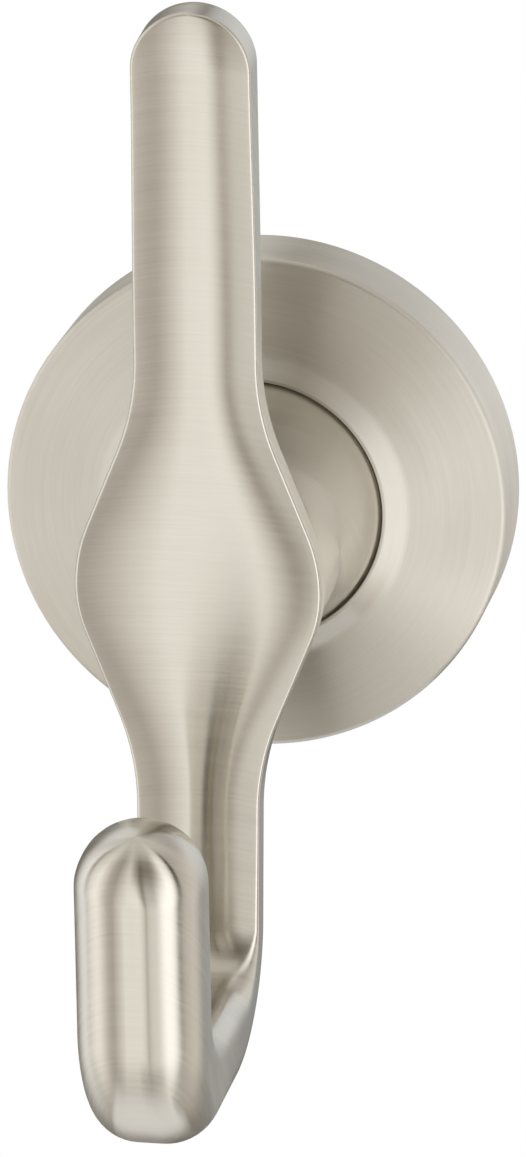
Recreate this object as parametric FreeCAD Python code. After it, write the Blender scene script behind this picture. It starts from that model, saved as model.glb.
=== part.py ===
import FreeCAD
import Part
import math
import os

# Double robe hook. Millimetres, X to the right, Z up, and the wall is the plane Y = 0.
# The hook stands out from the wall towards -Y, so a depth is a distance from the wall: Y = -depth.
# The origin is the centre of the round flange, on the wall.

# Front outline of the strap, seen along Y
strap_half_width = 6.55
prong_tip_half_width = 6.3
prong_tip_z = 62.6
bulge_half_width = 13.1
bulge_centre_z = 0.2
bulge_upper_radius = 17.0
bulge_lower_radius = 13.5
bulge_flank_angle = 22.0
bulge_neck_radius = 27.0

# Side view of the strap: the face is a long bow that leans out from the wall at its top
strap_face_depth = 45.3
face_lean_slope = 0.019
face_bow_radius = 650.0
strap_thickness = 5.2
prong_tip_thickness = 6.2
prong_thicken_z = 30.0
strap_front_edge_radius = 0.5
strap_back_edge_radius = 1.6
strap_crown = 0.9
least_crown = 0.01

# Side view of the lower hook
face_bow_end_z = -26.0
throat_bottom_z = -41.6
hook_bottom_z = -52.2
throat_strap_radius = 4.8
throat_finger_radius = 7.6
hook_back_radius = 14.5
hook_front_radius = 15.0
bottom_half_width = 6.35
bottom_inner_edge_radius = 3.5
bottom_outer_edge_radius = 4.9
bend_blend_start = 0.15

# Finger
finger_axis_depth = 75.3
finger_axis_z = -30.0
finger_lean_angle = 5.2
finger_tip_z = -15.0
finger_half_width = 6.78
finger_thickness = 13.2
finger_flat_half_width = 0.5

# Post behind the strap, which flares from a waist to the flange and to the strap's bulge
post_base_radius = 14.35
post_waist_radius = 12.2
post_waist_depth = 27.0
post_front_half_width = 12.5
post_front_half_height = 18.6
post_front_squareness = 1.7
post_foot_curve = 1.8
post_side_curve = 2.0
post_height_curve = 2.5
post_sink = 1.6

# Flange
flange_radius = 27.5
flange_wall_height = 9.9
flange_rim_radius = 0.5
collar_break_radius = 17.0
collar_break_depth = 11.6
collar_top_depth = 12.93
flange_wall = 1.6
flange_roof = 1.8
web_thickness = 2.0
seat_depth = 0.5
seat_clearance = 0.12
collar_lip_width = 0.35

# Key between post and flange
spigot_radius = 6.5
spigot_flat_half = 4.6
spigot_short_of_web = 0.45
spigot_clearance = 0.1

# Wall bracket
bracket_thickness = 2.0
bracket_clearance = 0.25
bracket_centre_hole_radius = 6.0
wall_slot_spacing = 32.0
wall_slot_half_width = 2.3
wall_slot_length = 8.0
lug_width = 9.0
lug_thickness = 2.0
lug_height = 6.2
lug_to_flange_wall = 5.3
lug_hole_radius = 1.3

# Set screw
set_screw_radius = 2.0
set_screw_depth = 5.3
set_screw_recess = 0.2
set_screw_tip_radius = 0.7
set_screw_cone_slope = 1.0
set_screw_hex_across = 2.0
set_screw_hex_depth = 2.2
set_screw_boss_half_width = 4.2
set_screw_boss_height = 3.3
set_screw_boss_near_depth = 2.5
thread_clearance = 0.05
lug_hole_clearance = 0.05

# Post screw and its washer
post_screw_radius = 2.5
post_screw_length = 16.0
post_screw_head_radius = 4.6
post_screw_head_height = 3.0
post_screw_head_bevel = 1.3
post_screw_tip_room = 1.5
post_screw_slot_width = 1.2
post_screw_slot_depth = 1.4
post_screw_slot_half_length = 2.76
washer_inner_radius = 2.75
washer_outer_radius = 8.4
washer_thickness = 1.2

# Spacing of the cuts along the lofted stretches, and points round a cut of the post
hook_cut_spacing = 2.4
post_cut_spacing = 3.2
oval_points = 32

# How far a cutting tool runs past the face that it cuts
overcut = 1.0


def point(x, depth, z):
    """A point at the given distance from the wall."""
    return FreeCAD.Vector(x, -depth, z)


def smooth(value):
    """Ramp from 0 to 1 with flat ends."""
    u = min(max(value, 0.0), 1.0)
    return u * u * (3.0 - 2.0 * u)


def mix(start, end, share):
    return start + (end - start) * share


def even_steps(length, spacing):
    """Number of even steps, near the given spacing, that a stretch takes."""
    return max(2, round(length / spacing))


def hypot_side(radius, offset):
    """The other short side of a right triangle."""
    return math.sqrt(radius * radius - offset * offset)


def bulge_side(height, radius):
    """Half width at a height above or below the bulge's middle.

    An outward arc, a straight flank tangent to it, then an inward arc that is
    tangent to the flank and to the straight side of the strap.
    """
    angle = math.radians(bulge_flank_angle)
    arc_x = bulge_half_width - radius + radius * math.cos(angle)
    arc_z = radius * math.sin(angle)
    neck_x = strap_half_width + bulge_neck_radius * (1.0 - math.cos(angle))
    neck_z = arc_z + (arc_x - neck_x) / math.tan(angle)
    end_z = neck_z + bulge_neck_radius * math.sin(angle)
    if height < arc_z:
        return bulge_half_width - radius + hypot_side(radius, height)
    if height < neck_z:
        return arc_x - (height - arc_z) * math.tan(angle)
    if height < end_z:
        neck_reach = hypot_side(bulge_neck_radius, end_z - height)
        return strap_half_width + bulge_neck_radius - neck_reach
    return strap_half_width


def tip_centre_z():
    return prong_tip_z - prong_tip_half_width


def prong_share(z):
    """How far the strap has changed into the prong's tip at a height, from 0 to 1."""
    return smooth((z - prong_thicken_z) / (tip_centre_z() - prong_thicken_z))


def strap_side(z):
    """Half width of the strap at a height."""
    if z < bulge_centre_z:
        return bulge_side(bulge_centre_z - z, bulge_lower_radius)
    side = bulge_side(z - bulge_centre_z, bulge_upper_radius)
    return side - prong_share(z) * (strap_half_width - prong_tip_half_width)


def face_depth(z):
    """Depth of the strap's face at a height: a long arc, nearly a parabola."""
    return strap_face_depth + face_lean_slope * z + z * z / (2.0 * face_bow_radius)


def face_tangent(z):
    """Unit direction up the face, as (depth, z)."""
    slope = face_lean_slope + z / face_bow_radius
    length = math.hypot(slope, 1.0)
    return slope / length, 1.0 / length


def thickness_at(z):
    return mix(strap_thickness, prong_tip_thickness, prong_share(z))


def section(inner, outer, half_width, inner_radius, outer_radius, crown):
    """A cut of the hook, given by the side-view points of its inner and its outer face.

    Returned as the centre, the unit direction from the outer to the inner face,
    and the sizes of a rectangle with rounded corners, its inner side crowned.
    """
    across = (inner[0] - outer[0], inner[1] - outer[1])
    thickness = math.hypot(across[0], across[1])
    return {
        "centre": ((inner[0] + outer[0]) / 2.0, (inner[1] + outer[1]) / 2.0),
        "normal": (across[0] / thickness, across[1] / thickness),
        "half_width": half_width,
        "half_thickness": thickness / 2.0,
        "inner_radius": inner_radius,
        "outer_radius": outer_radius,
        "crown": crown if crown > least_crown else 0.0,
        "bevelled": False,
    }


def section_point(cut, x, height):
    """A point of a cut, at x and at a height above its centre towards the inner face."""
    depth = cut["centre"][0] + cut["normal"][0] * height
    z = cut["centre"][1] + cut["normal"][1] * height
    return point(x, depth, z)


def corner(cut, side, upper):
    """Five even points round a corner, from the broad face to the side."""
    radius = cut["inner_radius"] if upper else cut["outer_radius"]
    sign = 1.0 if upper else -1.0
    drop = cut["crown"] if upper else 0.0
    points = []
    for step in range(5):
        angle = math.pi / 8.0 * step
        x = side * (cut["half_width"] - radius + radius * math.sin(angle))
        height = sign * (cut["half_thickness"] - drop - radius + radius * math.cos(angle))
        points.append(section_point(cut, x, height))
    return points


def arc_edge(points):
    return Part.Arc(points[0], points[1], points[2]).toShape()


def line_edge(start, end):
    return Part.LineSegment(start, end).toShape()


def corner_edges(cut, points):
    """Two edges round a corner: arcs, or a two-step bevel where the corner is slim."""
    if cut["bevelled"]:
        return [line_edge(points[0], points[2]), line_edge(points[2], points[4])]
    return [arc_edge(points[:3]), arc_edge(points[2:])]


def crown_edge(cut, start, end):
    """Edge over the crowned face: an arc, or a line where the crown is too slight to matter."""
    crown = cut["crown"]
    if crown == 0.0:
        return line_edge(start, end)
    radius = (end.x * end.x / crown + crown) / 2.0
    x = (start.x + end.x) / 2.0
    rise = radius - hypot_side(radius, x)
    return arc_edge([start, section_point(cut, x, cut["half_thickness"] - rise), end])


def section_edges(cut, halves):
    """Edges of a cut, for both halves or for the right half only."""
    upper = corner(cut, 1.0, True)
    lower = corner(cut, 1.0, False)
    edges = corner_edges(cut, upper) + [line_edge(upper[4], lower[4])] + corner_edges(cut, lower[::-1])
    if halves == 1:
        base = section_point(cut, 0.0, -cut["half_thickness"])
        top = section_point(cut, 0.0, cut["half_thickness"])
        return [crown_edge(cut, top, upper[0])] + edges + [line_edge(lower[0], base), line_edge(base, top)]
    left_upper = corner(cut, -1.0, True)
    left_lower = corner(cut, -1.0, False)
    edges.append(line_edge(lower[0], left_lower[0]))
    edges.extend(corner_edges(cut, left_lower))
    edges.append(line_edge(left_lower[4], left_upper[4]))
    edges.extend(corner_edges(cut, left_upper[::-1]))
    edges.append(crown_edge(cut, left_upper[0], upper[0]))
    return edges


def rounded_end(cut, angle):
    """Half of a cut turned half a turn about its own middle line: a full round end."""
    half = Part.Face(Part.Wire(section_edges(cut, 1)))
    foot = section_point(cut, 0.0, 0.0)
    axis = section_point(cut, 0.0, 1.0) - foot
    return half.revolve(foot, axis, angle)


def strap_cut(z):
    """Cut across the strap, square to its face."""
    tangent = face_tangent(z)
    front = (face_depth(z), z)
    back = (front[0] - tangent[1] * thickness_at(z), front[1] + tangent[0] * thickness_at(z))
    radii = (strap_front_edge_radius, strap_back_edge_radius)
    cut = section(front, back, strap_side(z), radii[0], radii[1], strap_crown)
    cut["bevelled"] = True
    return cut


def side_profile(face_x, bottom_z, first_radius, second_radius, finger_offset):
    """Side view of one face of the hook's bend, as two arcs joined by a level line.

    The first arc leaves the strap's face, the second meets the leaning finger,
    whose face lies finger_offset from the finger's axis, away from the wall if positive.
    """
    lean = math.radians(finger_lean_angle)
    along = (math.sin(lean), math.cos(lean))
    away = (math.cos(lean), -math.sin(lean))
    base = (finger_axis_depth + away[0] * finger_offset, finger_axis_z + away[1] * finger_offset)
    first = (face_x + first_radius, bottom_z + first_radius)
    foot = (base[0] - away[0] * second_radius, base[1] - away[1] * second_radius)
    rise = (bottom_z + second_radius - foot[1]) / along[1]
    second = (foot[0] + along[0] * rise, foot[1] + along[1] * rise)
    return {"first": first, "second": second, "radii": (first_radius, second_radius), "lean": lean}


def on_arc(centre, radius, angle):
    """Point of a side-view arc, the angle counted from straight down towards the finger."""
    return centre[0] + radius * math.sin(angle), centre[1] - radius * math.cos(angle)


def bend_sides():
    """Side view of the throat's face and of the outer face, round the lower bend."""
    face = face_depth(face_bow_end_z)
    half = finger_thickness / 2.0
    inner = side_profile(face, throat_bottom_z, throat_strap_radius, throat_finger_radius, -half)
    back = face - strap_thickness
    outer = side_profile(back, hook_bottom_z, hook_back_radius, hook_front_radius, half)
    return inner, outer


def middle_radius(inner, outer, turn):
    """Radius of the middle line of the first or the second turn of the bend."""
    return (inner["radii"][turn] + outer["radii"][turn]) / 2.0


def strap_bend_cuts(inner, outer):
    """Cuts round the first quarter turn, where the flat strap grows round and thick."""
    cuts = []
    steps = even_steps(middle_radius(inner, outer, 0) * math.pi / 2.0, hook_cut_spacing)
    for step in range(steps + 1):
        share = step / steps
        angle = -math.pi / 2.0 * (1.0 - share)
        blend = smooth(mix(bend_blend_start, 1.0, share))
        start = on_arc(inner["first"], inner["radii"][0], angle)
        end = on_arc(outer["first"], outer["radii"][0], angle)
        half_width = mix(strap_half_width, bottom_half_width, blend)
        inner_radius = mix(strap_front_edge_radius, bottom_inner_edge_radius, blend)
        outer_radius = mix(strap_back_edge_radius, bottom_outer_edge_radius, blend)
        crown = strap_crown * (1.0 - blend)
        cuts.append(section(start, end, half_width, inner_radius, outer_radius, crown))
    return cuts


def between(first, second, share):
    return mix(first[0], second[0], share), mix(first[1], second[1], share)


def level_cuts(inner, outer):
    """Cuts along the level bottom, between the two quarter turns."""
    cuts = []
    lengths = [side["second"][0] - side["first"][0] for side in (inner, outer)]
    steps = even_steps(sum(lengths) / 2.0, hook_cut_spacing)
    for step in range(1, steps):
        share = step / steps
        ends = []
        for side in (inner, outer):
            first = on_arc(side["first"], side["radii"][0], 0.0)
            second = on_arc(side["second"], side["radii"][1], 0.0)
            ends.append(between(first, second, share))
        radii = (bottom_inner_edge_radius, bottom_outer_edge_radius)
        cuts.append(section(ends[0], ends[1], bottom_half_width, radii[0], radii[1], 0.0))
    return cuts


def finger_edge_radius():
    return min(finger_half_width, finger_thickness / 2.0) - finger_flat_half_width


def finger_bend_cuts(inner, outer):
    """Cuts round the second turn, up to the leaning finger."""
    cuts = []
    turn = math.pi / 2.0 - inner["lean"]
    steps = even_steps(middle_radius(inner, outer, 1) * turn, hook_cut_spacing)
    for step in range(steps + 1):
        share = step / steps
        angle = turn * share
        blend = smooth(share)
        start = on_arc(inner["second"], inner["radii"][1], angle)
        end = on_arc(outer["second"], outer["radii"][1], angle)
        half_width = mix(bottom_half_width, finger_half_width, blend)
        inner_radius = mix(bottom_inner_edge_radius, finger_edge_radius(), blend)
        outer_radius = mix(bottom_outer_edge_radius, finger_edge_radius(), blend)
        cuts.append(section(start, end, half_width, inner_radius, outer_radius, 0.0))
    return cuts


def finger_tip_cut(lean):
    """Cut square to the finger, where its round tip starts."""
    z = finger_tip_z - finger_half_width * math.cos(lean)
    depth = finger_axis_depth + (z - finger_axis_z) * math.tan(lean)
    half = finger_thickness / 2.0
    inner = (depth - math.cos(lean) * half, z + math.sin(lean) * half)
    outer = (depth + math.cos(lean) * half, z - math.sin(lean) * half)
    radius = finger_edge_radius()
    return section(inner, outer, finger_half_width, radius, radius, 0.0)


def strap_cuts():
    """Cuts down the straight strap, from the prong's round tip to the bend."""
    steps = even_steps(tip_centre_z() - face_bow_end_z, hook_cut_spacing)
    heights = [mix(tip_centre_z(), face_bow_end_z, step / steps) for step in range(steps + 1)]
    return [strap_cut(z) for z in heights]


def loft(cuts, ruled):
    wires = [Part.Wire(section_edges(cut, 2)) for cut in cuts]
    return Part.makeLoft(wires, True, ruled)


def oval(half_width, half_height, squareness, depth):
    """Closed curve |x/a|^n + |z/b|^n = 1 at a depth; n = 2 is an ellipse."""
    points = []
    shares = [step / oval_points for step in range(oval_points + 1)]
    for share in shares[:-1]:
        angle = 2.0 * math.pi * share
        reach_x = math.copysign(abs(math.cos(angle)) ** (2.0 / squareness), math.cos(angle))
        reach_z = math.copysign(abs(math.sin(angle)) ** (2.0 / squareness), math.sin(angle))
        points.append(point(half_width * reach_x, depth, half_height * reach_z))
    curve = Part.BSplineCurve()
    curve.interpolate(Points=points, PeriodicFlag=True, Parameters=shares)
    return Part.Wire(curve.toShape())


def seat_plane_depth():
    return collar_top_depth - seat_depth


def post_bell():
    """The post: a round foot, a waist, and a flare into the strap's bulge."""
    foot = seat_plane_depth()
    front = strap_face_depth - strap_thickness + post_sink
    wires = []
    steps = even_steps(front - foot, post_cut_spacing)
    for step in range(steps + 1):
        depth = mix(foot, front, step / steps)
        if depth < post_waist_depth:
            share = (post_waist_depth - depth) / (post_waist_depth - foot)
            radius = mix(post_waist_radius, post_base_radius, share ** post_foot_curve)
            wires.append(oval(radius, radius, 2.0, depth))
        else:
            share = (depth - post_waist_depth) / (front - post_waist_depth)
            half_width = mix(post_waist_radius, post_front_half_width, share ** post_side_curve)
            half_height = mix(post_waist_radius, post_front_half_height, share ** post_height_curve)
            squareness = mix(2.0, post_front_squareness, share)
            wires.append(oval(half_width, half_height, squareness, depth))
    return Part.makeLoft(wires, True, False)


def along_wall_axis(radius, near_depth, far_depth):
    """A round bar along Y between two depths."""
    length = far_depth - near_depth
    return Part.makeCylinder(radius, length, point(0, near_depth, 0), FreeCAD.Vector(0, -1, 0))


def along_z(radius, start, length):
    """A round bar upwards from a point."""
    return Part.makeCylinder(radius, length, start, FreeCAD.Vector(0, 0, 1))


def box(x0, x1, depth0, depth1, z0, z1):
    return Part.makeBox(x1 - x0, depth1 - depth0, z1 - z0, point(x0, depth1, z0))


def flatted_bar(radius, flat_half, near_depth, far_depth):
    """A round bar along Y with two flats, above and below."""
    bar = along_wall_axis(radius, near_depth, far_depth)
    return bar.common(box(-radius, radius, near_depth, far_depth, -flat_half, flat_half))


def web_back_depth():
    return seat_plane_depth() - web_thickness


def head_depth():
    """Depth of the post screw's seat, under its head."""
    return web_back_depth() - washer_thickness


def hook():
    """Prong, bulge, strap, lower hook and post, cast as one."""
    strap = strap_cuts()
    inner, outer = bend_sides()
    bend = strap_bend_cuts(inner, outer) + level_cuts(inner, outer) + finger_bend_cuts(inner, outer)
    tip = finger_tip_cut(inner["lean"])
    straights = [loft([strap[-1], bend[0]], True), loft([bend[-1], tip], True)]
    body = loft(strap, False).fuse([loft(bend, False)] + straights)
    body = body.fuse([rounded_end(strap[0], 180.0), rounded_end(tip, -180.0), post_bell()])
    spigot_end = web_back_depth() + spigot_short_of_web
    spigot = flatted_bar(spigot_radius, spigot_flat_half, spigot_end, seat_plane_depth() + overcut)
    hole_end = head_depth() + post_screw_length + post_screw_tip_room
    hole = along_wall_axis(post_screw_radius + thread_clearance, spigot_end - overcut, hole_end)
    return body.fuse(spigot).cut(hole).removeSplitter()


def turned(profile):
    """Turn a closed side-view outline of (radius, depth) corners about the Y axis."""
    corners = [FreeCAD.Vector(radius, -depth, 0) for radius, depth in profile]
    face = Part.Face(Part.makePolygon(corners + [corners[0]]))
    return face.revolve(FreeCAD.Vector(0, 0, 0), FreeCAD.Vector(0, 1, 0), 360.0)


def flange_inner_radius():
    return flange_radius - flange_wall


def flange():
    """Hollow cover: side wall, coned face, collar with the post's seat, and the set screw's boss."""
    inner = flange_inner_radius()
    seat_radius = post_base_radius + seat_clearance
    web_radius = collar_break_radius - flange_roof
    outside = turned(
        [
            (0, 0),
            (flange_radius, 0),
            (flange_radius, flange_wall_height - flange_rim_radius),
            (flange_radius - flange_rim_radius, flange_wall_height),
            (collar_break_radius, collar_break_depth),
            (seat_radius + collar_lip_width, collar_top_depth),
            (0, collar_top_depth),
        ]
    )
    cavity = turned(
        [
            (0, -overcut),
            (inner, -overcut),
            (inner, flange_wall_height - flange_roof),
            (collar_break_radius, collar_break_depth - flange_roof),
            (web_radius, web_back_depth()),
            (0, web_back_depth()),
        ]
    )
    boss = box(
        -set_screw_boss_half_width,
        set_screw_boss_half_width,
        set_screw_boss_near_depth,
        flange_wall_height - flange_rim_radius,
        -flange_radius,
        -inner + set_screw_boss_height,
    ).common(outside)
    shell = outside.cut(cavity).fuse(boss)
    seat = along_wall_axis(seat_radius, seat_plane_depth(), collar_top_depth + overcut)
    key = flatted_bar(
        spigot_radius + spigot_clearance,
        spigot_flat_half + spigot_clearance,
        web_back_depth() - overcut,
        collar_top_depth,
    )
    below = point(0, set_screw_depth, -flange_radius - overcut)
    tapped = along_z(set_screw_radius + thread_clearance, below, flange_radius)
    return shell.cut([seat, key, tapped]).removeSplitter()


def slot(centre_x):
    """A slotted hole through the bracket, along X."""
    half_run = wall_slot_length / 2.0 - wall_slot_half_width
    near = -overcut
    far = bracket_thickness + overcut
    half = wall_slot_half_width
    shape = box(centre_x - half_run, centre_x + half_run, near, far, -half, half)
    for end in (-half_run, half_run):
        round_end = along_wall_axis(half, near, far)
        round_end.translate(FreeCAD.Vector(centre_x + end, 0, 0))
        shape = shape.fuse(round_end)
    return shape


def lug_outer_z():
    return lug_to_flange_wall - flange_inner_radius()


def wall_bracket():
    """Round plate against the wall, with two slotted holes and a lug for the set screw."""
    plate = along_wall_axis(flange_inner_radius() - bracket_clearance, 0, bracket_thickness)
    far = bracket_thickness + overcut
    plate = plate.cut(along_wall_axis(bracket_centre_hole_radius, -overcut, far))
    for side in (-1, 1):
        plate = plate.cut(slot(side * wall_slot_spacing / 2.0))
    half = lug_width / 2.0
    lug_z = lug_outer_z()
    lug = box(-half, half, 0, bracket_thickness + lug_height, lug_z, lug_z + lug_thickness)
    hole_start = point(0, set_screw_depth, lug_z - overcut)
    hole = along_z(lug_hole_radius, hole_start, lug_thickness + 2.0 * overcut)
    return plate.fuse(lug).cut(hole).removeSplitter()


def hexagon_bar(across, base, height):
    """Six-sided bar upwards from a point, for a key socket."""
    radius = across / math.sqrt(3.0)
    ring = []
    for step in range(7):
        angle = math.radians(60.0 * step)
        ring.append(base + FreeCAD.Vector(radius * math.cos(angle), radius * math.sin(angle), 0))
    return Part.Face(Part.makePolygon(ring)).extrude(FreeCAD.Vector(0, 0, height))


def set_screw():
    """Headless screw up through the flange's underside, its cone seated in the lug's hole."""
    foot_z = -flange_radius + set_screw_recess
    seat_radius = lug_hole_radius - lug_hole_clearance
    cone_start = lug_outer_z() - (set_screw_radius - seat_radius) * set_screw_cone_slope
    cone_end = lug_outer_z() + (seat_radius - set_screw_tip_radius) * set_screw_cone_slope
    foot = point(0, set_screw_depth, foot_z)
    body = along_z(set_screw_radius, foot, cone_start - foot_z)
    cone = Part.makeCone(
        set_screw_radius,
        set_screw_tip_radius,
        cone_end - cone_start,
        point(0, set_screw_depth, cone_start),
        FreeCAD.Vector(0, 0, 1),
    )
    socket = hexagon_bar(set_screw_hex_across, foot, set_screw_hex_depth)
    return body.fuse(cone).cut(socket).removeSplitter()


def post_screw():
    """Bevelled round-headed screw from inside the flange into the post, with a cross recess."""
    seat = head_depth()
    top = seat - post_screw_head_height
    bevel = post_screw_head_bevel
    screw = turned(
        [
            (0, top),
            (post_screw_head_radius - bevel, top),
            (post_screw_head_radius, top + bevel),
            (post_screw_head_radius, seat),
            (post_screw_radius, seat),
            (post_screw_radius, seat + post_screw_length),
            (0, seat + post_screw_length),
        ]
    )
    reach = post_screw_slot_half_length
    half = post_screw_slot_width / 2.0
    for x, z in ((reach, half), (half, reach)):
        screw = screw.cut(box(-x, x, top - overcut, top + post_screw_slot_depth, -z, z))
    return screw.removeSplitter()


def washer():
    """Flat washer that spans the keyed hole in the flange."""
    disc = along_wall_axis(washer_outer_radius, head_depth(), web_back_depth())
    near = head_depth() - overcut
    return disc.cut(along_wall_axis(washer_inner_radius, near, web_back_depth() + overcut))


def main():
    os.makedirs("parts", exist_ok=True)
    pieces = {
        "hook": hook(),
        "flange": flange(),
        "wall_bracket": wall_bracket(),
        "set_screw": set_screw(),
        "post_screw": post_screw(),
        "post_washer": washer(),
    }
    for node, shape in pieces.items():
        solids = shape.Solids
        print(node, len(solids), "solid", "valid" if shape.isValid() else "not valid")
        print("  volume", round(shape.Volume, 1), shape.BoundBox)
        shape.exportStep("parts/" + node + ".step")


main()
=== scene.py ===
import math

import bmesh
import bpy
import numpy as np
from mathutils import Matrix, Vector


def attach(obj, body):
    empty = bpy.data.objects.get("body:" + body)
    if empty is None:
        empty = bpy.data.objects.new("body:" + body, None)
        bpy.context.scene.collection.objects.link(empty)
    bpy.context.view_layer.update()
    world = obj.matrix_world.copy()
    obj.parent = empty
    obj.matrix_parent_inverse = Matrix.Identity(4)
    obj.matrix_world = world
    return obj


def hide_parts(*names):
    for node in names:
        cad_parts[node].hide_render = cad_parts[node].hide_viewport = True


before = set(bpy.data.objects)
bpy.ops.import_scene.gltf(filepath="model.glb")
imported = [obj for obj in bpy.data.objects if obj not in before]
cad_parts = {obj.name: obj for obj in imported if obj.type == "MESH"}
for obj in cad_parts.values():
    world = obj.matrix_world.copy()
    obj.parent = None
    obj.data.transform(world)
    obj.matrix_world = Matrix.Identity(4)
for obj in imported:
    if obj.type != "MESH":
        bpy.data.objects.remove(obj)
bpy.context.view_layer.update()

# The object is a double robe hook in satin nickel. It stands out from the wall, which is the plane Y = 0,
# towards -Y, with X to the right and Z up. Sizes are in millimetres and become metres in mesh_from_grid.
MILLIMETRE = 0.001
MERGE_DISTANCE = 1e-6

# Front outline of the strap
STRAP_HALF_WIDTH = 6.55
PRONG_TIP_HALF_WIDTH = 6.3
PRONG_TIP_Z = 62.6
BULGE_HALF_WIDTH = 13.1
BULGE_CENTRE_Z = 0.2
BULGE_UPPER_RADIUS = 17.0
BULGE_LOWER_RADIUS = 13.5
BULGE_FLANK_ANGLE = 22.0
BULGE_NECK_RADIUS = 27.0

# Side view of the strap and of the lower hook
STRAP_FACE_DEPTH = 45.3
FACE_LEAN_SLOPE = 0.019
FACE_BOW_RADIUS = 650.0
FACE_BOW_END_Z = -26.0
STRAP_THICKNESS = 5.2
PRONG_TIP_THICKNESS = 6.2
PRONG_THICKEN_Z = 30.0
THROAT_BOTTOM_Z = -41.6
HOOK_BOTTOM_Z = -52.2
THROAT_STRAP_RADIUS = 4.8
THROAT_FINGER_RADIUS = 7.6
HOOK_BACK_RADIUS = 14.5
HOOK_FRONT_RADIUS = 15.0
BOTTOM_HALF_WIDTH = 6.35
FINGER_AXIS_DEPTH = 75.3
FINGER_AXIS_Z = -30.0
FINGER_LEAN = math.radians(5.2)
FINGER_TIP_Z = -15.0
FINGER_HALF_WIDTH = 6.78
FINGER_THICKNESS = 13.2

# Edges of the hook, and the soft roll of the strap's face towards its edges
FRONT_EDGE_RADIUS = 0.45
BACK_EDGE_RADIUS = 1.6
BOTTOM_INNER_RADIUS = 3.5
BOTTOM_OUTER_RADIUS = 4.9
FINGER_EDGE_RADIUS = 6.1
FACE_ROLL_WIDTH = 6.2
FACE_ROLL_GROWTH = 0.55
FACE_ROLL_DROP = 1.0
LEVEL_BLEND_START = 0.15

# Post behind the strap
POST_BASE_RADIUS = 14.35
POST_WAIST_RADIUS = 12.2
POST_WAIST_DEPTH = 27.0
POST_FRONT_HALF_WIDTH = 12.5
POST_FRONT_HALF_HEIGHT = 18.6
POST_FRONT_SQUARENESS = 1.7
POST_FOOT_CURVE = 1.8
POST_SIDE_CURVE = 2.0
POST_TOP_CURVE = 2.5
POST_SINK = 1.6
POST_FOOT_DEPTH = 12.43

# Flange: radii about its axis, depths from the wall, and how far its corners are rounded
FLANGE_RADIUS = 27.5
FLANGE_WALL_HEIGHT = 9.9
FLANGE_WALL = 1.6
FLANGE_ROOF = 1.8
FLANGE_RIM_ROUNDING = 0.7
WALL_END_ROUNDING = 0.15
COLLAR_BREAK_RADIUS = 17.0
COLLAR_BREAK_DEPTH = 11.6
COLLAR_BREAK_ROUNDING = 3.0
COLLAR_TOP_DEPTH = 12.93
COLLAR_LIP_WIDTH = 0.35
COLLAR_LIP_ROUNDING = 0.2
SEAT_RADIUS = 14.47
SEAT_EDGE_ROUNDING = 0.08
WEB_BACK_DEPTH = 10.43
WEB_CORNER_ROUNDING = 0.5
HOLLOW_ROUNDING = 0.8
KEY_HOLE_RADIUS = 6.6
SET_SCREW_HOLE_RADIUS = 2.05
SET_SCREW_DEPTH = 5.3
BORE_OVERRUN = 1.0

# Each metal: light tone, dark tone, roughness, anisotropy, and how strongly the brush lines stand out
HOOK_NICKEL = ((0.74, 0.71, 0.65), (0.62, 0.59, 0.53), 0.2, 1.0, 0.1)
FLANGE_NICKEL = ((0.83, 0.80, 0.74), (0.70, 0.67, 0.61), 0.32, 1.0, 0.4)
ZINC = ((0.60, 0.61, 0.62), (0.48, 0.49, 0.50), 0.42, 0.0, 0.5)
STEEL = ((0.50, 0.50, 0.50), (0.40, 0.40, 0.41), 0.33, 0.0, 0.4)

# Brush lines: height in metres, how many broad streaks there are for each fine line, and the turn of the
# gloss for lines in circles, as a share of a full turn
BRUSH_LINE_HEIGHT = 0.00002
STREAK_SHARE = 0.16
ROUND_GLOSS_TURN = 0.25

# Camera, in metres and degrees
CAMERA_AZIMUTH = 10.02
CAMERA_ELEVATION = 16.52
CAMERA_DISTANCE = 0.9
CAMERA_TARGET = (-0.00087, 0.0, -0.01148)
CAMERA_LENS = 254.7

# Floor and light tent, in metres
FLOOR_Z = -1.9
FLOOR_HALF_SIDE = 1.0
TENT_RADIUS = 2.4

# Angles in degrees over which one part of the tent's light fades into the next: across the middle plane,
# from front to side and from side to back by azimuth, into the strip and into the crown by elevation
MIDDLE_FADE = (-12, 0)
SIDE_FADE = (32, 56)
BACK_FADE = (110, 140)
STRIP_FADE = (-33, -19)
CROWN_FADE = (52, 72)
ROUND_SPAN = 360.0
HEIGHT_SPAN = 180.0

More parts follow.
